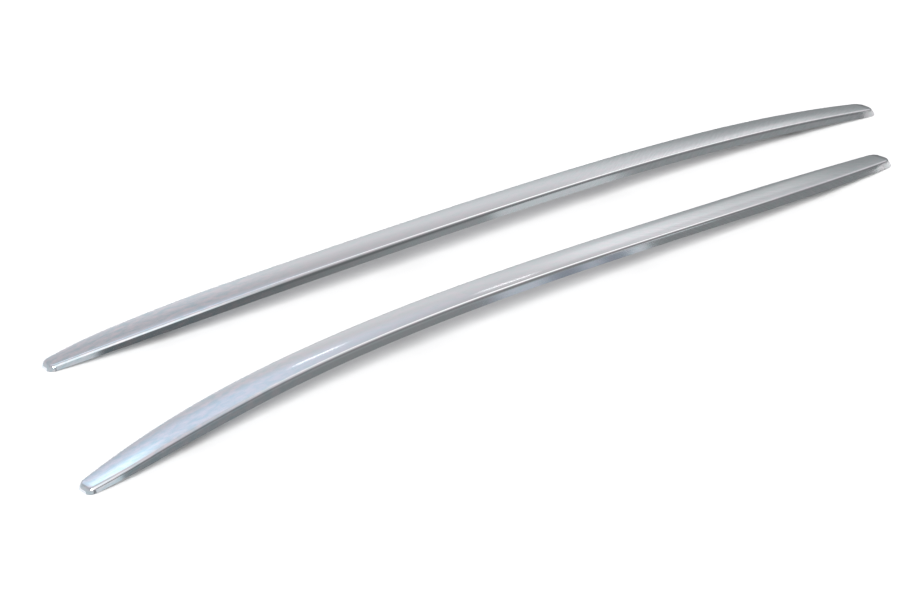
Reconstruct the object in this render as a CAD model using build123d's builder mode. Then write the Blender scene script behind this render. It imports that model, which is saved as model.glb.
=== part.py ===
from build123d import *
import os
from math import cos, pi, radians, sin, sqrt, tan

os.makedirs("parts", exist_ok=True)

# Rail body
rail_length = 1700.0
rail_width = 64.0
rail_height = 13.5
side_draft = 20.0
top_radius = 300.0
edge_radius = 5.0

# Bend of the rail, seen from the side and from above
arch_rise = 43.5
arch_lean = 11.5
arch_fullness = 0.2
plan_bow = 17.7
plan_wave = 48.0

# Front end, tapered to a narrow tip
front_drop_length = 420.0
front_end_flat = 3.0
front_taper_length = 300.0
front_outer_taper = 18.5
front_inner_taper = 5.7
front_sweep_length = 110.0
front_sweep = 8.5
front_round_length = 11.0
front_tip_width = 13.0

# Rear end, narrowed and rounded
rear_drop_length = 380.0
rear_end_flat = 6.4
rear_narrowing = 9.4
rear_round_length = 26.0
rear_tip_width = 11.0

# Hollow inside and slot underneath
wall = 3.0
lip_thickness = 3.0
slot_width = 20.0
front_solid_length = 140.0
rear_solid_length = 105.0

# Slot nuts and the wider gate that lets them in
fixing_count = 4
front_fixing_inset = 190.0
rear_fixing_inset = 190.0
nut_length = 36.0
nut_bearing = 7.0
nut_thickness = 4.5
thread_diameter = 6.0
gate_clearance = 1.0

# Seals between rail and roof
seal_flange_length = 46.0
seal_flange_width = 36.0
seal_flange_thickness = 2.0
seal_plug_length = 34.0
seal_slot_clearance = 0.25
seal_hole_clearance = 0.5
seal_seat_gap = 0.1
seal_nut_gap = 0.6

# How the two rails lie beside each other
pair_spacing = 270.7
pair_stagger = 157.1
toe_angle = 3.2

half_length = rail_length / 2
front_end_height = edge_radius + front_end_flat
rear_end_height = edge_radius + rear_end_flat
front_end_width = rail_width - front_outer_taper - front_inner_taper - front_sweep
front_round_depth = (front_end_width - front_tip_width) / 2
rear_round_depth = (rail_width - rear_tip_width) / 2 - rear_narrowing
draft = radians(side_draft)
side_wall = wall / cos(draft)
nut_width = slot_width + 2 * nut_bearing
hollow_front = front_solid_length - half_length
hollow_rear = half_length - rear_solid_length
gate_front = hollow_rear - nut_length - gate_clearance
gate_width = nut_width + gate_clearance
flange_low = -seal_seat_gap - seal_flange_thickness
plug_width = slot_width - 2 * seal_slot_clearance
plug_height = lip_thickness + seal_seat_gap - seal_nut_gap
front_fixing = front_fixing_inset - half_length
rear_fixing = half_length - rear_fixing_inset
fixing_pitch = (rear_fixing - front_fixing) / (fixing_count - 1)


def ease(distance, length):
    return min(max(distance / length, 0.0), 1.0) ** 2


def round_off(distance, length, depth):
    # How far a rounding pulls the outline in, at a distance from the end
    reach = max(1 - distance / length, 0.0)
    return depth * (1 - sqrt(1 - reach**2))


def base_height(x):
    t = x / half_length
    arch = arch_rise * (1 - t**2) * (1 + arch_fullness * t**2)
    return arch - arch_lean * (t - t**3)


def base_slope(x):
    t = x / half_length
    arch = arch_rise * (2 * t * (arch_fullness - 1) - 4 * arch_fullness * t**3)
    return (arch - arch_lean * (1 - 3 * t**2)) / half_length


def centre_line(x):
    t = x / half_length
    return plan_bow * (1 - t**2) + plan_wave * (t**3 - t)


def centre_slope(x):
    t = x / half_length
    return (-2 * plan_bow * t + plan_wave * (3 * t**2 - 1)) / half_length


def end_rounding(x):
    # Lost height where the upper edge runs round the two ends
    front = round_off(half_length + x, edge_radius, edge_radius)
    rear = round_off(half_length - x, edge_radius, edge_radius)
    return front + rear


def section_height(x):
    front = ease(front_drop_length - half_length - x, front_drop_length)
    rear = ease(x - half_length + rear_drop_length, rear_drop_length)
    lost_front = (rail_height - front_end_height) * front
    lost_rear = (rail_height - rear_end_height) * rear
    return rail_height - lost_front - lost_rear - end_rounding(x)


def corner_inset(x):
    front = round_off(half_length + x, front_round_length, front_round_depth)
    rear = round_off(half_length - x, rear_round_length, rear_round_depth)
    return front + rear


def outer_edge(x):
    taper = front_outer_taper * ease(front_taper_length - half_length - x, front_taper_length)
    sweep = front_sweep * ease(front_sweep_length - half_length - x, front_sweep_length)
    rear = rear_narrowing * ease(x - half_length + rear_drop_length, rear_drop_length)
    return centre_line(x) - rail_width / 2 + taper + sweep + rear + corner_inset(x)


def inner_edge(x):
    taper = front_inner_taper * ease(front_taper_length - half_length - x, front_taper_length)
    rear = rear_narrowing * ease(x - half_length + rear_drop_length, rear_drop_length)
    return centre_line(x) + rail_width / 2 - taper - rear - corner_inset(x)


def spread(start, end, count):
    # Places along the rail, closer together towards both ends
    middle = (start + end) / 2
    reach = (end - start) / 2
    return [middle - reach * cos(pi * n / (count - 1)) for n in range(count)]


def end_steps(length, count):
    # Distances from an end that step evenly round its corners
    return [length * (1 - cos(pi / 2 * n / count)) for n in range(count + 1)]


def strip(x, width, low, high):
    # Four corners of a strip across the rail, at heights above the underside
    side = centre_line(x) - width / 2
    base = base_height(x)
    return [
        (side, base + low),
        (side + width, base + low),
        (side + width, base + high),
        (side, base + high),
    ]


# One rail in its own frame: front end at low x, inner side at high y, both ends at z = 0
front_places = [d - half_length for d in end_steps(front_round_length, 8)]
rear_places = [half_length - d for d in reversed(end_steps(rear_round_length, 8))]
long_places = spread(front_places[-1], rear_places[0], 25)
with BuildPart() as rail_shape:
    for places in (front_places, long_places, rear_places):
        for x in places:
            low = base_height(x)
            height = section_height(x)
            outer = outer_edge(x)
            middle = (outer + inner_edge(x)) / 2
            # Rounded upper edge, tangent to the leaning side and to the crowned top
            radius = edge_radius - end_rounding(x) / 2
            crown_slope = (middle - outer - height * tan(draft)) / top_radius
            tangent = radius * tan((pi / 2 - draft - crown_slope) / 2)
            side_high = height - tangent * cos(draft)
            side_in = middle - outer - side_high * tan(draft)
            centre_in = side_in - radius * cos(draft)
            centre_high = low + side_high - radius * sin(draft)
            top_in = centre_in / (1 - radius / top_radius)
            top_angle = top_in / top_radius
            top_high = centre_high + radius * cos(top_angle)
            crown = top_radius * (1 - cos(top_angle))
            half_turn = (pi / 2 - draft + top_angle) / 2
            bend_in = centre_in + radius * sin(half_turn)
            bend_high = centre_high + radius * cos(half_turn)
            with BuildSketch(Plane.YZ.offset(x)):
                with BuildLine():
                    Line((outer, low), (2 * middle - outer, low))
                    Line((2 * middle - outer, low), (middle + side_in, low + side_high))
                    ThreePointArc(
                        (middle + side_in, low + side_high),
                        (middle + bend_in, bend_high),
                        (middle + top_in, top_high),
                    )
                    ThreePointArc(
                        (middle + top_in, top_high),
                        (middle, top_high + crown),
                        (middle - top_in, top_high),
                    )
                    ThreePointArc(
                        (middle - top_in, top_high),
                        (middle - bend_in, bend_high),
                        (middle - side_in, low + side_high),
                    )
                    Line((middle - side_in, low + side_high), (outer, low))
                make_face()
        loft()
    # Hollow that follows the outside at the wall thickness
    for x in spread(hollow_front, hollow_rear, 11):
        floor = base_height(x) + lip_thickness
        roof = base_height(x) + section_height(x) - wall
        floor_inset = side_wall + tan(draft) * lip_thickness
        roof_inset = side_wall + tan(draft) * (section_height(x) - wall)
        with BuildSketch(Plane.YZ.offset(x)):
            with BuildLine():
                Polyline(
                    (outer_edge(x) + floor_inset, floor),
                    (inner_edge(x) - floor_inset, floor),
                    (inner_edge(x) - roof_inset, roof),
                    (outer_edge(x) + roof_inset, roof),
                    close=True,
                )
            make_face()
    loft(mode=Mode.SUBTRACT)
    # Slot between the two lips, open to the hollow
    for x in spread(hollow_front, hollow_rear, 11):
        with BuildSketch(Plane.YZ.offset(x)):
            with BuildLine():
                Polyline(*strip(x, slot_width, -wall, lip_thickness + wall / 2), close=True)
            make_face()
    loft(mode=Mode.SUBTRACT)
    # Gate at the rear end of the slot
    for x in spread(gate_front, hollow_rear, 3):
        with BuildSketch(Plane.YZ.offset(x)):
            with BuildLine():
                Polyline(*strip(x, gate_width, -wall, lip_thickness + wall / 2), close=True)
            make_face()
    loft(mode=Mode.SUBTRACT)

# Places of the two rails, with the middle of the pair over the origin
turned_box = rail_shape.part.moved(Location((0, 0, 0), (0, 0, toe_angle))).bounding_box()
middle_x = (turned_box.min.X + turned_box.max.X) / 2
left_place = Location((-middle_x - pair_stagger / 2, -pair_spacing / 2, 0), (0, 0, toe_angle))
right_place = Location((pair_stagger / 2 - middle_x, pair_spacing / 2, 0), (0, 0, -toe_angle))

with BuildPart() as left_rail:
    add(rail_shape.part.moved(left_place))
left_rail.part.label = "left_rail"
export_step(left_rail.part, "parts/left_rail.step")

with BuildPart() as right_rail:
    add(rail_shape.part.mirror(Plane.XZ).moved(right_place))
right_rail.part.label = "right_rail"
export_step(right_rail.part, "parts/right_rail.step")

for number in range(1, fixing_count + 1):
    place_x = front_fixing + fixing_pitch * (number - 1)
    seat = Plane(
        origin=(place_x, centre_line(place_x), base_height(place_x) + lip_thickness),
        x_dir=(1, centre_slope(place_x), base_slope(place_x)),
        z_dir=(-base_slope(place_x), 0, 1),
    )
    underside = seat.offset(-lip_thickness)

    # Threaded plate that lies on the two lips
    with BuildPart() as nut_shape:
        with BuildSketch(seat):
            Rectangle(nut_length, nut_width)
            Circle(thread_diameter / 2, mode=Mode.SUBTRACT)
        extrude(amount=nut_thickness)

    # Soft seal with its flange under the rail and its plug in the slot
    with BuildPart() as seal_shape:
        with BuildSketch(underside.offset(flange_low)):
            Rectangle(seal_flange_length, seal_flange_width)
            Circle(thread_diameter / 2 + seal_hole_clearance, mode=Mode.SUBTRACT)
        extrude(amount=seal_flange_thickness)
        with BuildSketch(underside.offset(-seal_seat_gap)):
            Rectangle(seal_plug_length, plug_width)
            Circle(thread_diameter / 2 + seal_hole_clearance, mode=Mode.SUBTRACT)
        extrude(amount=plug_height)

    with BuildPart() as left_nut:
        add(nut_shape.part.moved(left_place))
    left_nut.part.label = f"left_slot_nut_{number}"
    export_step(left_nut.part, f"parts/left_slot_nut_{number}.step")

    with BuildPart() as right_nut:
        add(nut_shape.part.mirror(Plane.XZ).moved(right_place))
    right_nut.part.label = f"right_slot_nut_{number}"
    export_step(right_nut.part, f"parts/right_slot_nut_{number}.step")

    with BuildPart() as left_seal:
        add(seal_shape.part.moved(left_place))
    left_seal.part.label = f"left_seal_{number}"
    export_step(left_seal.part, f"parts/left_seal_{number}.step")

    with BuildPart() as right_seal:
        add(seal_shape.part.mirror(Plane.XZ).moved(right_place))
    right_seal.part.label = f"right_seal_{number}"
    export_step(right_seal.part, f"parts/right_seal_{number}.step")
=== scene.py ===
from math import cos, hypot, pi, radians, sin, sqrt, tan

import bpy
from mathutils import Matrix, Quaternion, Vector


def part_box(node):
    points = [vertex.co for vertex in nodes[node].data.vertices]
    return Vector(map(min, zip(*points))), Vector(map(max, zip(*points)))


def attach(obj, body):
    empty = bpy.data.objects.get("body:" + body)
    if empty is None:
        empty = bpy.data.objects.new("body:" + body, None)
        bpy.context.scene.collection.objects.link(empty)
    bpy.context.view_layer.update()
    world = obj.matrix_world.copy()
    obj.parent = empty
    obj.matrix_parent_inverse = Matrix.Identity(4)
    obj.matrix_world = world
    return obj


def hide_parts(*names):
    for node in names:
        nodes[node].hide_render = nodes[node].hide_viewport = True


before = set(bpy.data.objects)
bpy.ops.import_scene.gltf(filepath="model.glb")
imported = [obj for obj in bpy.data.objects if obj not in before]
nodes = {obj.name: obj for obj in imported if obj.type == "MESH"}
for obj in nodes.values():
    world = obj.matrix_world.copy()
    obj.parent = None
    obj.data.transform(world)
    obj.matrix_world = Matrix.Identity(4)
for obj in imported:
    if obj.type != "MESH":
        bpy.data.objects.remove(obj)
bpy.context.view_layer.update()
print("frame loaded,", len(nodes), "nodes")

perMetre = 1000  # millimetres, which the sizes of the rail and of the patterns are given in
colourA, colourB, mixed = 6, 7, 2  # colour sockets of a mix node: two inputs and the output


def linearColour(hexCode):
    channels = []
    for start in (1, 3, 5):
        value = int(hexCode[start:start + 2], 16) / 255
        channels.append(value / 12.92 if value <= 0.04045 else ((value + 0.055) / 1.055) ** 2.4)
    return (*channels, 1.0)


def addNode(tree, kind, inputs=None, stops=None, **settings):
    node = tree.nodes.new(kind)
    for key, value in settings.items():
        setattr(node, key, value)
    for key, value in (inputs or {}).items():
        if isinstance(value, bpy.types.NodeSocket):
            tree.links.new(value, node.inputs[key])
        else:
            node.inputs[key].default_value = value
    if stops:  # places and grey levels of a ramp
        for stop in stops[1:-1]:
            node.color_ramp.elements.new(stop[0])
        for element, (position, level) in zip(node.color_ramp.elements, stops):
            element.position = position
            element.color = (level, level, level, 1)
    return node


def newMaterial(name):
    material = bpy.data.materials.new(name)
    material.use_nodes = True
    material.node_tree.nodes.clear()
    return material, material.node_tree


railBar = {  # millimetres and degrees, the same sizes as the solid
    "length": 1700.0, "width": 64.0, "height": 13.5,
    "sideDraft": 20.0, "topRadius": 300.0, "edgeRadius": 5.0,
    "archRise": 43.5, "archLean": 11.5, "archFullness": 0.2,
    "planBow": 17.7, "planWave": 48.0,
    "frontDrop": 420.0, "frontFlat": 3.0,
    "frontTaper": 300.0, "frontOuterTaper": 18.5, "frontInnerTaper": 5.7,
    "frontSweepLength": 110.0, "frontSweep": 8.5,
    "frontRound": 11.0, "frontTip": 13.0,
    "rearDrop": 380.0, "rearFlat": 6.4, "rearNarrowing": 9.4,
    "rearRound": 26.0, "rearTip": 11.0,
    "toe": 3.2,
}
railTips = {  # the end walls lean back by a share of their height, where the solid's are upright
    "frontTurn": 9.2, "frontLean": 0.36,  # turn is what the rounding takes off each side, mm
    "rearTurn": 17.1, "rearLean": 0.73,
}
railUnderside = {  # hollow, slot between the lips and the gate for the nuts
    "wall": 3.0, "lip": 3.0, "slot": 20.0, "gate": 35.0, "gateLength": 37.0,
    "frontSolid": 140.0, "rearSolid": 105.0,
}
railMesh = {  # steps along the bar, then steps around it
    "frontTip": 10, "long": 360, "rearTip": 14, "hollow": 90, "gate": 6,
    "side": 3, "edge": 10, "halfTop": 16,
    "seam": 1e-6, "smoothAngle": 30.0,  # metres and degrees
}
halfLength = railBar["length"] / 2
draft = radians(railBar["sideDraft"])
hollowFront = railUnderside["frontSolid"] - halfLength
hollowRear = halfLength - railUnderside["rearSolid"]


def easeIn(distance, length):
    return min(max(distance / length, 0.0), 1.0) ** 2


def roundOff(distance, length, depth):
    reach = max(1 - distance / length, 0.0)
    return depth * (1 - sqrt(max(1 - reach**2, 0.0)))


def baseHeight(x):
    t = x / halfLength
    arch = railBar["archRise"] * (1 - t**2) * (1 + railBar["archFullness"] * t**2)
    return arch - railBar["archLean"] * (t - t**3)


def centreLine(x):
    t = x / halfLength
    return railBar["planBow"] * (1 - t**2) + railBar["planWave"] * (t**3 - t)


def endRounding(x):  # height lost where the upper edge runs round the tips
    radius = railBar["edgeRadius"]
    return roundOff(halfLength + x, radius, radius) + roundOff(halfLength - x, radius, radius)


def sectionHeight(x):
    front = easeIn(railBar["frontDrop"] - halfLength - x, railBar["frontDrop"])
    rear = easeIn(x - halfLength + railBar["rearDrop"], railBar["rearDrop"])
    frontLoss = railBar["height"] - railBar["edgeRadius"] - railBar["frontFlat"]
    rearLoss = railBar["height"] - railBar["edgeRadius"] - railBar["rearFlat"]
    return railBar["height"] - frontLoss * front - rearLoss * rear - endRounding(x)


def sideEdges(x):  # outer and inner edge of the underside
    frontWidth = (railBar["width"] - railBar["frontOuterTaper"] - railBar["frontInnerTaper"]
                  - railBar["frontSweep"])
    rearWidth = railBar["width"] - 2 * railBar["rearNarrowing"]
    taper = easeIn(railBar["frontTaper"] - halfLength - x, railBar["frontTaper"])
    sweep = easeIn(railBar["frontSweepLength"] - halfLength - x, railBar["frontSweepLength"])
    both = railBar["rearNarrowing"] * easeIn(x - halfLength + railBar["rearDrop"], railBar["rearDrop"])
    both += roundOff(halfLength + x, railBar["frontRound"], (frontWidth - railBar["frontTip"]) / 2)
    both += roundOff(halfLength - x, railBar["rearRound"], (rearWidth - railBar["rearTip"]) / 2)
    half = railBar["width"] / 2
    outer = -half + railBar["frontOuterTaper"] * taper + railBar["frontSweep"] * sweep + both
    inner = half - railBar["frontInnerTaper"] * taper - both
    return centreLine(x) + outer, centreLine(x) + inner


def wallTurn(distance, length, depth):  # 0 where the wall runs along the bar, 1 where across it
    reach = max(1 - distance / length, 0.0)
    alongBar, acrossBar = reach / length, sqrt(max(1 - reach**2, 0.0)) / depth
    return alongBar / hypot(alongBar, acrossBar)


def endLean(x):  # slope of the end walls, so that the tips are rounded over
    front = wallTurn(halfLength + x, railBar["frontRound"], railTips["frontTurn"])
    rear = wallTurn(halfLength - x, railBar["rearRound"], railTips["rearTurn"])
    return front * railTips["frontLean"] - rear * railTips["rearLean"]


def spread(start, end, count):  # closer together towards both ends
    middle, reach = (start + end) / 2, (end - start) / 2
    return [middle - reach * cos(pi * n / (count - 1)) for n in range(count)]


def tipSteps(length, count):  # closer together towards the tip
    return [length * (1 - cos(pi / 2 * n / count)) for n in range(count)]


def skinRing(x):  # across and up, from the outer lower edge over the top to the inner one and back
    low, height = baseHeight(x), sectionHeight(x)
    outer, inner = sideEdges(x)
    middle, half = (outer + inner) / 2, (inner - outer) / 2
    radius = railBar["edgeRadius"] - endRounding(x) / 2
    crownSlope = (half - height * tan(draft)) / railBar["topRadius"]
    sideHigh = height - radius * tan((pi / 2 - draft - crownSlope) / 2) * cos(draft)
    sideIn = half - sideHigh * tan(draft)
    centreIn = sideIn - radius * cos(draft)
    centreHigh = low + sideHigh - radius * sin(draft)
    topIn = centreIn / (1 - radius / railBar["topRadius"])
    topAngle = topIn / railBar["topRadius"]
    topHigh = centreHigh + radius * cos(topAngle)
    crown = railBar["topRadius"] * (1 - cos(topAngle))
    rising = []
    for n in range(railMesh["side"]):  # leaning side
        away = half - (half - sideIn) * n / railMesh["side"]
        rising.append((away, low + sideHigh * n / railMesh["side"]))
    for n in range(railMesh["edge"]):  # rounded upper edge
        turn = (pi / 2 - draft) + (topAngle - pi / 2 + draft) * n / railMesh["edge"]
        rising.append((centreIn + radius * sin(turn), centreHigh + radius * cos(turn)))
    for n in range(railMesh["halfTop"] + 1):  # half of the crowned top
        share = 1 - n / railMesh["halfTop"]
        rising.append((topIn * share, topHigh + crown * (1 - share**2)))
    ring = [(middle - away, up) for away, up in rising]
    ring += [(middle + away, up) for away, up in reversed(rising[:-1])]
    return ring + [(middle + half / 3, low), (middle - half / 3, low)]


def hollowRing(x):
    outer, inner = sideEdges(x)
    wall, lip = railUnderside["wall"], railUnderside["lip"]
    floorHigh, roofHigh = lip, sectionHeight(x) - wall
    floorInset = wall / cos(draft) + tan(draft) * floorHigh
    roofInset = wall / cos(draft) + tan(draft) * roofHigh
    low = baseHeight(x)
    return [(outer + floorInset, low + floorHigh), (outer + roofInset, low + roofHigh),
            (inner - roofInset, low + roofHigh), (inner - floorInset, low + floorHigh)]


def slotRing(width):  # from below the bar to inside its hollow
    low, high = -railUnderside["wall"], railUnderside["lip"] + railUnderside["wall"] / 2
    return lambda x: [(centreLine(x) + side * width / 2, baseHeight(x) + level)
                      for side, level in ((-1, low), (-1, high), (1, high), (1, low))]


def sweptBar(name, places, ringAt):
    rings = [ringAt(x) for x in places]
    points = len(rings[0])
    bpy.ops.object.select_all(action="DESELECT")
    bpy.ops.mesh.primitive_grid_add(x_subdivisions=len(places) - 1, y_subdivisions=points, size=1)
    bar = bpy.context.object
    bar.name = name
    mapped = []
    for vertex in bar.data.vertices:
        station = round((vertex.co.x + 0.5) * (len(places) - 1))
        point = round((vertex.co.y + 0.5) * points)
        ring = rings[station]
        around = sum(hypot(ring[n % points][0] - ring[n - 1][0], ring[n % points][1] - ring[n - 1][1])
                     for n in range(1, point + 1))
        mapped.append((places[station] / perMetre, around / perMetre))
        across, up = ring[point % points]
        vertex.co = (places[station] / perMetre, across / perMetre, up / perMetre)
    lines = bar.data.uv_layers.active.data  # along the bar and around it, in metres
    for loop in bar.data.loops:
        lines[loop.index].uv = mapped[loop.vertex_index]
    bpy.ops.object.mode_set(mode="EDIT")
    bpy.ops.mesh.select_all(action="SELECT")
    bpy.ops.mesh.remove_doubles(threshold=railMesh["seam"])  # closes the skin along its seam
    bpy.ops.mesh.fill_holes(sides=0)  # flat face of each end
    bpy.ops.mesh.select_all(action="SELECT")
    bpy.ops.mesh.normals_make_consistent(inside=False)
    bpy.ops.object.mode_set(mode="OBJECT")
    lines = bar.data.uv_layers.active.data
    for loop in bar.data.loops:  # also on the faces that close the ends
        lines[loop.index].uv.x = bar.data.vertices[loop.vertex_index].co.x
    return bar


def cutAway(bar, cutter):
    cut = bar.modifiers.new("cut", "BOOLEAN")
    cut.object = cutter
    cut.operation = "DIFFERENCE"
    cut.solver = "EXACT"
    bpy.context.view_layer.objects.active = bar
    bpy.ops.object.modifier_apply(modifier=cut.name)
    bpy.data.objects.remove(cutter)


fromFront = tipSteps(railBar["frontRound"], railMesh["frontTip"])
fromRear = tipSteps(railBar["rearRound"], railMesh["rearTip"])
longFront, longRear = railBar["frontRound"] - halfLength, halfLength - railBar["rearRound"]
skinPlaces = [distance - halfLength for distance in fromFront]
skinPlaces += spread(longFront, longRear, railMesh["long"])
skinPlaces += [halfLength - distance for distance in reversed(fromRear)]
hollowPlaces = spread(hollowFront, hollowRear, railMesh["hollow"])
gatePlaces = spread(hollowRear - railUnderside["gateLength"], hollowRear, railMesh["gate"])
toe = radians(railBar["toe"])
rails = {}
for side, turn in (("left", 1), ("right", -1)):
    rail = sweptBar(side + "PolishedRail", skinPlaces, skinRing)
    for vertex in rail.data.vertices:
        x = vertex.co.x * perMetre
        vertex.co.x += (vertex.co.z - baseHeight(x) / perMetre) * endLean(x)
    cutAway(rail, sweptBar("hollow", hollowPlaces, hollowRing))
    cutAway(rail, sweptBar("slot", hollowPlaces, slotRing(railUnderside["slot"])))
    cutAway(rail, sweptBar("gate", gatePlaces, slotRing(railUnderside["gate"])))
    for vertex in rail.data.vertices:  # turned by the toe angle, mirrored for the right rail
        x, y, z = vertex.co
        vertex.co = (x * cos(toe) - y * sin(toe), turn * (x * sin(toe) + y * cos(toe)), z)
    low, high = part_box(side + "_rail")
    shift = Vector((0, 0, 0))
    for axis in range(2):  # along and across, to the middle of the solid's box
        places = [vertex.co[axis] for vertex in rail.data.vertices]
        shift[axis] = (low[axis] + high[axis]) / 2 - (min(places) + max(places)) / 2
    for vertex in rail.data.vertices:
        vertex.co += shift
    bpy.ops.object.select_all(action="DESELECT")
    rail.select_set(True)
    bpy.context.view_layer.objects.active = rail
    bpy.ops.object.mode_set(mode="EDIT")
    bpy.ops.mesh.select_all(action="SELECT")
    bpy.ops.mesh.normals_make_consistent(inside=False)
    bpy.ops.object.mode_set(mode="OBJECT")
    bpy.ops.object.shade_smooth_by_angle(angle=radians(railMesh["smoothAngle"]))
    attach(rail, "root")
    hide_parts(side + "_rail")
    rails[side] = rail
    print(side, "rail modelled,", len(rail.data.polygons), "faces")

# Aluminium bar, belt polished along its length and clear anodised:
# a bright mirror drawn into fine streaks
barFinish = {  # patterns in millimetres, places in metres along the bar from its middle
    "grainLength": 60.0, "grainWidth": 0.35,  # coarser than the belt's real grit so that it shows
    "grainDepth": 0.2, "grainStrength": 0.02, "roughness": (0.04, 0.09),
    "beltLength": 28.0, "beltWidth": 2.2, "beltAngle": 32.0,  # faint marks left by the polishing belt
    "beltDepth": 0.01, "beltTone": 0.30, "beltFrom": (0.02, 0.30),  # coarser towards the rear
    "cloudLength": 17.0, "cloudWidth": 8.0, "cloudEdge": (0.35, 0.65),  # tints of the anodic film
    "film": ("#e5eaea", "#ece9eb"),
    "frontFilm": ("#d9e7ed", "#f3eff3"), "frontFrom": (-0.40, -0.60),  # cloudier towards the front
    "satin": 0.35, "satinFrom": (0.79, 0.825),  # walls of the rear tips, finished by hand
    "wallSlope": (0.85, 0.55),  # how far a face may look up and still be a wall
}
polishedAluminium, tree = newMaterial("polishedAnodisedAluminium")
lines = addNode(tree, "ShaderNodeTexCoord").outputs["UV"]
along = addNode(tree, "ShaderNodeSeparateXYZ", {0: lines}).outputs["X"]
drawn = addNode(tree, "ShaderNodeMapping", {
    "Vector": lines,
    "Scale": (perMetre / barFinish["grainLength"], perMetre / barFinish["grainWidth"], 1)})
grain = addNode(tree, "ShaderNodeTexNoise", {"Vector": drawn.outputs[0], "Scale": 1.0, "Detail": 3.0})
gloss = addNode(tree, "ShaderNodeMapRange", {
    "Value": grain.outputs[0],
    "To Min": barFinish["roughness"][0], "To Max": barFinish["roughness"][1]})

smeared = addNode(tree, "ShaderNodeMapping", {
    "Vector": lines,
    "Scale": (perMetre / barFinish["cloudLength"], perMetre / barFinish["cloudWidth"], 1)})
cloud = addNode(tree, "ShaderNodeTexNoise", {"Vector": smeared.outputs[0], "Scale": 1.0, "Detail": 4.0})
patchy = addNode(tree, "ShaderNodeMapRange", {
    "Value": cloud.outputs[0],
    "From Min": barFinish["cloudEdge"][0], "From Max": barFinish["cloudEdge"][1]})
films = []
for film in ("film", "frontFilm"):
    first, second = (linearColour(colour) for colour in barFinish[film])
    films.append(addNode(tree, "ShaderNodeMix", {
        "Factor": patchy.outputs[0], colourA: first, colourB: second}, data_type="RGBA"))
front = addNode(tree, "ShaderNodeMapRange", {
    "Value": along, "From Min": barFinish["frontFrom"][0], "From Max": barFinish["frontFrom"][1]})
tinted = addNode(tree, "ShaderNodeMix", {
    "Factor": front.outputs[0], colourA: films[0].outputs[mixed], colourB: films[1].outputs[mixed]},
    data_type="RGBA")

rearEnd = addNode(tree, "ShaderNodeMapRange", {
    "Value": along, "From Min": barFinish["satinFrom"][0], "From Max": barFinish["satinFrom"][1],
    "To Max": barFinish["satin"]})
facing = addNode(tree, "ShaderNodeNewGeometry")
upward = addNode(tree, "ShaderNodeSeparateXYZ", {0: facing.outputs["Normal"]})
steep = addNode(tree, "ShaderNodeMapRange", {
    "Value": upward.outputs["Z"],
    "From Min": barFinish["wallSlope"][0], "From Max": barFinish["wallSlope"][1]})
satin = addNode(tree, "ShaderNodeMath", {
    0: rearEnd.outputs[0], 1: steep.outputs[0], 2: gloss.outputs[0]}, operation="MULTIPLY_ADD")

turned = addNode(tree, "ShaderNodeVectorRotate", {
    "Vector": lines, "Angle": radians(barFinish["beltAngle"])}, rotation_type="Z_AXIS")
swept = addNode(tree, "ShaderNodeMapping", {
    "Vector": turned.outputs[0],
    "Scale": (perMetre / barFinish["beltLength"], perMetre / barFinish["beltWidth"], 1)})
marks = addNode(tree, "ShaderNodeTexNoise", {"Vector": swept.outputs[0], "Scale": 1.0, "Detail": 3.0})
worn = addNode(tree, "ShaderNodeMapRange", {
    "Value": along, "From Min": barFinish["beltFrom"][0], "From Max": barFinish["beltFrom"][1]})
centred = addNode(tree, "ShaderNodeMath", {0: marks.outputs[0], 1: 0.5}, operation="SUBTRACT")
depth = addNode(tree, "ShaderNodeMath", {
    0: centred.outputs[0], 1: worn.outputs[0]}, operation="MULTIPLY")
wave = addNode(tree, "ShaderNodeBump", {
    "Height": depth.outputs[0], "Strength": 1.0, "Distance": barFinish["beltDepth"] / perMetre})
streak = addNode(tree, "ShaderNodeMath", {
    0: depth.outputs[0], 1: barFinish["beltTone"], 2: 1.0}, operation="MULTIPLY_ADD")
brushed = addNode(tree, "ShaderNodeMix", {
    "Factor": 1.0, colourA: tinted.outputs[mixed], colourB: streak.outputs[0]},
    data_type="RGBA", blend_type="MULTIPLY")
ripple = addNode(tree, "ShaderNodeBump", {
    "Height": grain.outputs[0], "Normal": wave.outputs[0],
    "Strength": barFinish["grainStrength"], "Distance": barFinish["grainDepth"] / perMetre})
metal = addNode(tree, "ShaderNodeBsdfPrincipled", {
    "Base Color": brushed.outputs[mixed], "Metallic": 1.0, "Roughness": satin.outputs[0],
    "Normal": ripple.outputs[0]})
addNode(tree, "ShaderNodeOutputMaterial", {"Surface": metal.outputs[0]})

# Stamped steel, zinc plated and passivated: dull silver with a cloudy, faintly blue film
nutFinish = {"cloud": 2.5, "film": ("#aeb3ba", "#d3d4d2"), "roughness": (0.28, 0.5)}  # cloud in mm
zincPlatedSteel, tree = newMaterial("zincPlatedSteel")
place = addNode(tree, "ShaderNodeTexCoord")
cloud = addNode(tree, "ShaderNodeTexNoise", {
    "Vector": place.outputs["Object"], "Scale": perMetre / nutFinish["cloud"], "Detail": 5.0})
gloss = addNode(tree, "ShaderNodeMapRange", {
    "Value": cloud.outputs[0],
    "To Min": nutFinish["roughness"][0], "To Max": nutFinish["roughness"][1]})
first, second = (linearColour(colour) for colour in nutFinish["film"])
film = addNode(tree, "ShaderNodeMix", {
    "Factor": cloud.outputs[0], colourA: first, colourB: second}, data_type="RGBA")
metal = addNode(tree, "ShaderNodeBsdfPrincipled", {
    "Base Color": film.outputs[mixed], "Metallic": 1.0, "Roughness": gloss.outputs[0]})
addNode(tree, "ShaderNodeOutputMaterial", {"Surface": metal.outputs[0]})

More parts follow.
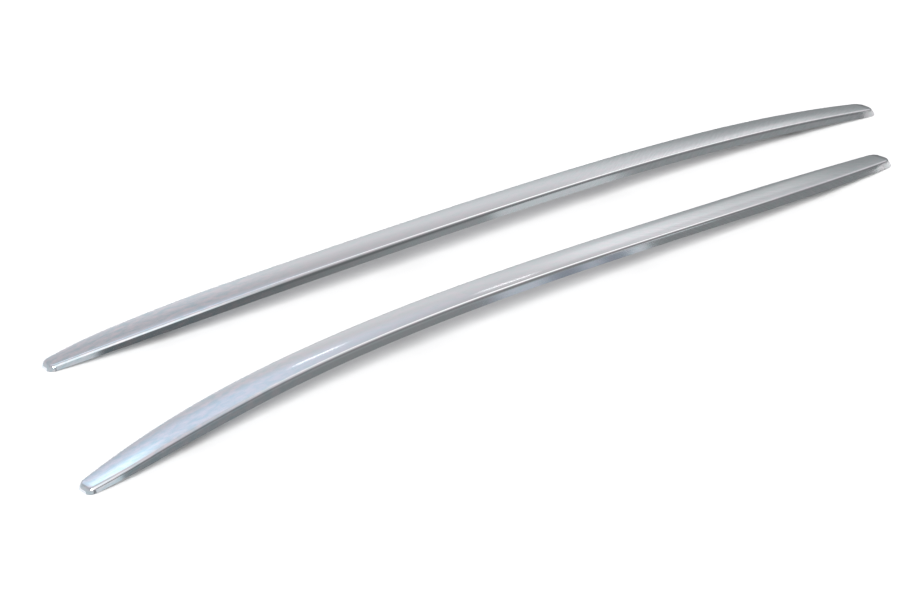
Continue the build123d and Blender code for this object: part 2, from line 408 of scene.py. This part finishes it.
# EPDM rubber, moulded in a spark eroded tool: matt near black with a fine pebble
sealFinish = {  # pebble in millimetres
    "pebble": 0.8, "pebbleDepth": 0.1, "pebbleStrength": 0.3,
    "colour": ("#1b1b1c", "#2b2b2c"), "roughness": (0.6, 0.85),
}
epdmRubber, tree = newMaterial("mouldedEpdmRubber")
place = addNode(tree, "ShaderNodeTexCoord")
grit = addNode(tree, "ShaderNodeTexNoise", {
    "Vector": place.outputs["Object"], "Scale": perMetre / sealFinish["pebble"], "Detail": 4.0})
gloss = addNode(tree, "ShaderNodeMapRange", {
    "Value": grit.outputs[0],
    "To Min": sealFinish["roughness"][0], "To Max": sealFinish["roughness"][1]})
first, second = (linearColour(colour) for colour in sealFinish["colour"])
shade = addNode(tree, "ShaderNodeMix", {
    "Factor": grit.outputs[0], colourA: first, colourB: second}, data_type="RGBA")
bumps = addNode(tree, "ShaderNodeBump", {
    "Height": grit.outputs[0], "Strength": sealFinish["pebbleStrength"],
    "Distance": sealFinish["pebbleDepth"] / perMetre})
rubber = addNode(tree, "ShaderNodeBsdfPrincipled", {
    "Base Color": shade.outputs[mixed], "Roughness": gloss.outputs[0], "Normal": bumps.outputs[0]})
addNode(tree, "ShaderNodeOutputMaterial", {"Surface": rubber.outputs[0]})

for name, node in nodes.items():
    finish = zincPlatedSteel if "nut" in name else epdmRubber
    if name.endswith("rail"):
        finish = polishedAluminium
    node.data.materials.clear()
    node.data.materials.append(finish)
for rail in rails.values():
    rail.data.materials.clear()
    rail.data.materials.append(polishedAluminium)
print("materials set")

studioFloor = {"size": 60.0, "white": 0.50, "lift": 0.06}  # lift is a glow that lights nothing
bpy.ops.object.select_all(action="DESELECT")
bpy.ops.mesh.primitive_plane_add(size=studioFloor["size"])
floor = bpy.context.object
floor.name = "floor"
floorPaint, tree = newMaterial("whiteFloorPaint")
path = addNode(tree, "ShaderNodeLightPath")
shiny = addNode(tree, "ShaderNodeMath", {
    0: path.outputs["Is Camera Ray"], 1: path.outputs["Is Glossy Ray"]}, operation="MAXIMUM")
seen = addNode(tree, "ShaderNodeMath", {
    0: shiny.outputs[0], 1: path.outputs["Is Transmission Ray"]}, operation="MAXIMUM")
lift = addNode(tree, "ShaderNodeMath", {
    0: seen.outputs[0], 1: studioFloor["lift"]}, operation="MULTIPLY")
glow = addNode(tree, "ShaderNodeEmission", {"Color": (1, 1, 1, 1), "Strength": lift.outputs[0]})
chalk = addNode(tree, "ShaderNodeBsdfDiffuse", {"Color": (studioFloor["white"],) * 3 + (1,)})
both = addNode(tree, "ShaderNodeAddShader", {0: chalk.outputs[0], 1: glow.outputs[0]})
addNode(tree, "ShaderNodeOutputMaterial", {"Surface": both.outputs[0]})
floor.data.materials.append(floorPaint)

overhead = (  # shared by the two far walls
    (0.33, 0.75), (0.39, 0.77), (0.45, 0.68), (0.54, 0.54), (0.60, 0.52), (0.75, 0.75), (1.0, 0.70))
farRight = {  # stops are the sine of the angle above the horizon and the brightness there
    "stops": (
        (0.0, 0.20), (0.07, 0.22), (0.11, 0.31), (0.17, 0.37), (0.21, 0.45), (0.26, 0.60), *overhead),
    "darkFrom": (0.64, 0.705), "drop": 0.067,  # further right the stops are read lower down, so darker
    "dropByHeight": 3.9, "dropAtHorizon": 0.06,
}
otherWalls = {  # each is laid over the ones before it, across a soft edge
    "farLeft": {"edge": ("X", 0.65, 0.30), "stops": ((0.0, 0.55), (0.20, 0.60), *overhead)},
    "inFront": {"edge": ("Y", 0.20, -0.25), "stops": (
        (0.0, 0.25), (0.105, 0.26), (0.12, 0.32), (0.145, 0.32), (0.18, 0.15), (0.215, 0.15),
        (0.30, 0.25), (0.60, 0.30), (0.75, 0.50), (0.86, 0.70), (1.0, 0.70))},
    "leftSide": {"edge": ("X", -0.05, -0.50), "stops": (
        (0.0, 0.70), (0.35, 0.62), (0.55, 0.50), (0.80, 0.50), (1.0, 0.70))},
}
wallTint = {"low": "#f3f9fc", "high": "#fdfaff", "edge": (0.20, 0.55)}
wallPatches = {
    "screen": {"brightness": 1.15, "edges": (  # large soft screen in front of the near ends
        ("X", 0.45, 0.15), ("X", -0.45, -0.10), ("Z", 0.24, 0.36), ("Y", -0.10, -0.35))},
    "strip": {"brightness": 1.25, "edges": (  # draws the bright line along the upper edges
        ("X", 0.40, 0.52), ("Z", 0.60, 0.70), ("Z", 0.86, 0.78), ("Y", -0.30, -0.10))},
}
world = bpy.data.worlds.new("studio")
bpy.context.scene.world = world
world.use_nodes = True
tree = world.node_tree
tree.nodes.clear()
direction = addNode(tree, "ShaderNodeTexCoord")
split = addNode(tree, "ShaderNodeSeparateXYZ", {0: direction.outputs["Generated"]})
height = split.outputs["Z"]
darker = addNode(tree, "ShaderNodeMapRange", {
    "Value": split.outputs["X"], "To Max": farRight["drop"],
    "From Min": farRight["darkFrom"][0], "From Max": farRight["darkFrom"][1]})
lean = addNode(tree, "ShaderNodeMath", {
    0: height, 1: farRight["dropByHeight"], 2: farRight["dropAtHorizon"]}, operation="MULTIPLY_ADD")
drop = addNode(tree, "ShaderNodeMath", {0: darker.outputs[0], 1: lean.outputs[0]}, operation="MULTIPLY")
lowered = addNode(tree, "ShaderNodeMath", {0: height, 1: drop.outputs[0]}, operation="SUBTRACT")
right = addNode(tree, "ShaderNodeValToRGB", {"Fac": lowered.outputs[0]}, stops=farRight["stops"])
walls = right.outputs[0]
for wall in otherWalls.values():
    axis, start, end = wall["edge"]
    share = addNode(tree, "ShaderNodeMapRange", {
        "Value": split.outputs[axis], "From Min": start, "From Max": end},
        interpolation_type="SMOOTHSTEP")
    level = addNode(tree, "ShaderNodeValToRGB", {"Fac": height}, stops=wall["stops"])
    walls = addNode(tree, "ShaderNodeMix", {
        "Factor": share.outputs[0], colourA: walls, colourB: level.outputs[0]},
        data_type="RGBA").outputs[mixed]
upper = addNode(tree, "ShaderNodeMapRange", {
    "Value": height, "From Min": wallTint["edge"][0], "From Max": wallTint["edge"][1]},
    interpolation_type="SMOOTHSTEP")
tint = addNode(tree, "ShaderNodeMix", {
    "Factor": upper.outputs[0], colourA: linearColour(wallTint["low"]),
    colourB: linearColour(wallTint["high"])}, data_type="RGBA")
walls = addNode(tree, "ShaderNodeMix", {
    "Factor": 1.0, colourA: walls, colourB: tint.outputs[mixed]},
    data_type="RGBA", blend_type="MULTIPLY").outputs[mixed]
for patch in wallPatches.values():
    share = 1.0
    for axis, start, end in patch["edges"]:
        edge = addNode(tree, "ShaderNodeMapRange", {
            "Value": split.outputs[axis], "From Min": start, "From Max": end},
            interpolation_type="SMOOTHSTEP")
        share = addNode(tree, "ShaderNodeMath", {
            0: share, 1: edge.outputs[0]}, operation="MULTIPLY").outputs[0]
    walls = addNode(tree, "ShaderNodeMix", {
        "Factor": share, colourA: walls, colourB: (patch["brightness"],) * 3 + (1,)},
        data_type="RGBA").outputs[mixed]
sky = addNode(tree, "ShaderNodeBackground", {"Color": walls, "Strength": 1.0})
addNode(tree, "ShaderNodeOutputWorld", {"Surface": sky.outputs[0]})

softKey = {"from": (-2.4, -2.6, 2.57), "strength": 7.2, "angle": 28.0}  # casts the soft shadow
lamp = bpy.data.lights.new("softKey", "SUN")
lamp.energy = softKey["strength"]
lamp.angle = radians(softKey["angle"])
key = bpy.data.objects.new("softKey", lamp)
bpy.context.collection.objects.link(key)
key.rotation_mode = "QUATERNION"
key.rotation_quaternion = (-Vector(softKey["from"])).to_track_quat("-Z", "Y")

softBoxes = {  # brightness is what the polished rail mirrors, fade is the soft share of each edge
    "skyPanel": {
        "size": (2.6, 0.60), "brightness": 0.36, "fade": 0.38, "tint": "#c2e0ff",
        "place": (-0.35, 0.85, 0.91), "aim": (-0.35, -1, 0.91)},
    "endBox": {
        "size": (0.50, 0.50), "brightness": 0.40, "fade": 0.35, "tint": "#cdfbff",
        "place": (-0.50, 0.84, 1.05), "aim": (-0.50, -1, 1.05)},
    "sidePanel": {
        "size": (1.05, 0.21), "brightness": 0.165, "fade": 0.28, "tint": "#ffffff",
        "place": (0.895, 0.45, 0.345), "aim": (0.895, -1, 0.345), "roll": 12.0},
    "nearTube": {
        "size": (0.22, 0.022), "brightness": 1.6, "fade": 0.3, "tint": "#ffffff",
        "place": (0.195, 0.83, 0.795), "aim": (0.195, -1, 0.795)},
    "farTube": {
        "size": (0.24, 0.022), "brightness": 1.6, "fade": 0.3, "tint": "#ffffff",
        "place": (0.78, 0.83, 0.795), "aim": (0.78, -1, 0.795)},
    "lowGlow": {  # behind the low cards, since lamps in one plane hide each other
        "size": (0.60, 0.16), "brightness": 0.07, "fade": 0.2, "tint": "#7fa8ff",
        "place": (1.43, -1.95, 0.285), "aim": (1.43, 0, 0.285)},
    "lowCardNear": {
        "size": (0.19, 0.16), "brightness": 0.28, "fade": 0.25, "tint": "#f0f8ff",
        "place": (1.24, -1.9, 0.285), "aim": (1.24, 0, 0.285)},
    "lowCardMiddle": {
        "size": (0.11, 0.16), "brightness": 0.20, "fade": 0.3, "tint": "#f0f8ff",
        "place": (1.46, -1.9, 0.285), "aim": (1.46, 0, 0.285)},
    "lowCardFar": {
        "size": (0.12, 0.16), "brightness": 0.44, "fade": 0.3, "tint": "#f0f8ff",
        "place": (1.64, -1.9, 0.285), "aim": (1.64, 0, 0.285)},
    "highCard": {
        "size": (0.58, 0.14), "brightness": 0.33, "fade": 0.12, "tint": "#f4faff",
        "place": (1.80, -1.9, 0.41), "aim": (1.80, 0, 0.41)},
    "leftTipCard": {
        "size": (0.46, 0.30), "brightness": 0.45, "fade": 0.2, "tint": "#f4fbff",
        "place": (-0.12, -2.4, 0.29), "aim": (-0.93, -0.16, 0.29)},
    "rightTipCard": {
        "size": (0.46, 0.36), "brightness": 0.5, "fade": 0.2, "tint": "#f4fbff",
        "place": (-0.82, -2.4, 0.55), "aim": (-0.77, 0.2, 0.55)},
}
for name, made in softBoxes.items():
    lamp = bpy.data.lights.new(name, "AREA")
    lamp.shape = "RECTANGLE"
    lamp.size, lamp.size_y = made["size"]
    lamp.energy = made["brightness"] * pi * lamp.size * lamp.size_y
    lamp.use_nodes = True
    tree = lamp.node_tree
    tree.nodes.clear()
    face = addNode(tree, "ShaderNodeNewGeometry")
    split = addNode(tree, "ShaderNodeSeparateXYZ", {0: face.outputs["Parametric"]})
    glow = 1.0
    for axis in ("X", "Y"):
        for start, end in ((0, made["fade"]), (1, 1 - made["fade"])):
            edge = addNode(tree, "ShaderNodeMapRange", {
                "Value": split.outputs[axis], "From Min": start, "From Max": end},
                interpolation_type="SMOOTHSTEP")
            glow = addNode(tree, "ShaderNodeMath", {
                0: glow, 1: edge.outputs[0]}, operation="MULTIPLY").outputs[0]
    light = addNode(tree, "ShaderNodeEmission", {"Color": linearColour(made["tint"]), "Strength": glow})
    addNode(tree, "ShaderNodeOutputLight", {"Surface": light.outputs[0]})
    held = bpy.data.objects.new(name, lamp)
    bpy.context.collection.objects.link(held)
    held.visible_camera = False
    held.location = made["place"]
    held.rotation_mode = "QUATERNION"
    aimed = (Vector(made["aim"]) - held.location).to_track_quat("-Z", "Y")
    held.rotation_quaternion = aimed @ Quaternion((0, 0, 1), radians(made.get("roll", 0.0)))
print("studio lit")

viewpoint = {
    "azimuth": -40.19, "elevation": 25.59, "distance": 4.1462,
    "target": (-0.1676, -0.0577, 0.0), "lens": 105.65, "sensor": 36,
}
azimuth, elevation = radians(viewpoint["azimuth"]), radians(viewpoint["elevation"])
back = Vector((sin(azimuth) * cos(elevation), -cos(azimuth) * cos(elevation), sin(elevation)))
lens = bpy.data.cameras.new("camera")
lens.sensor_width = viewpoint["sensor"]
lens.lens = viewpoint["lens"]
camera = bpy.data.objects.new("camera", lens)
bpy.context.collection.objects.link(camera)
camera.rotation_mode = "QUATERNION"
camera.location = Vector(viewpoint["target"]) + back * viewpoint["distance"]
camera.rotation_quaternion = (-back).to_track_quat("-Z", "Y")
bpy.context.scene.camera = camera
bpy.context.scene.view_settings.view_transform = "Standard"

print("scene ready")
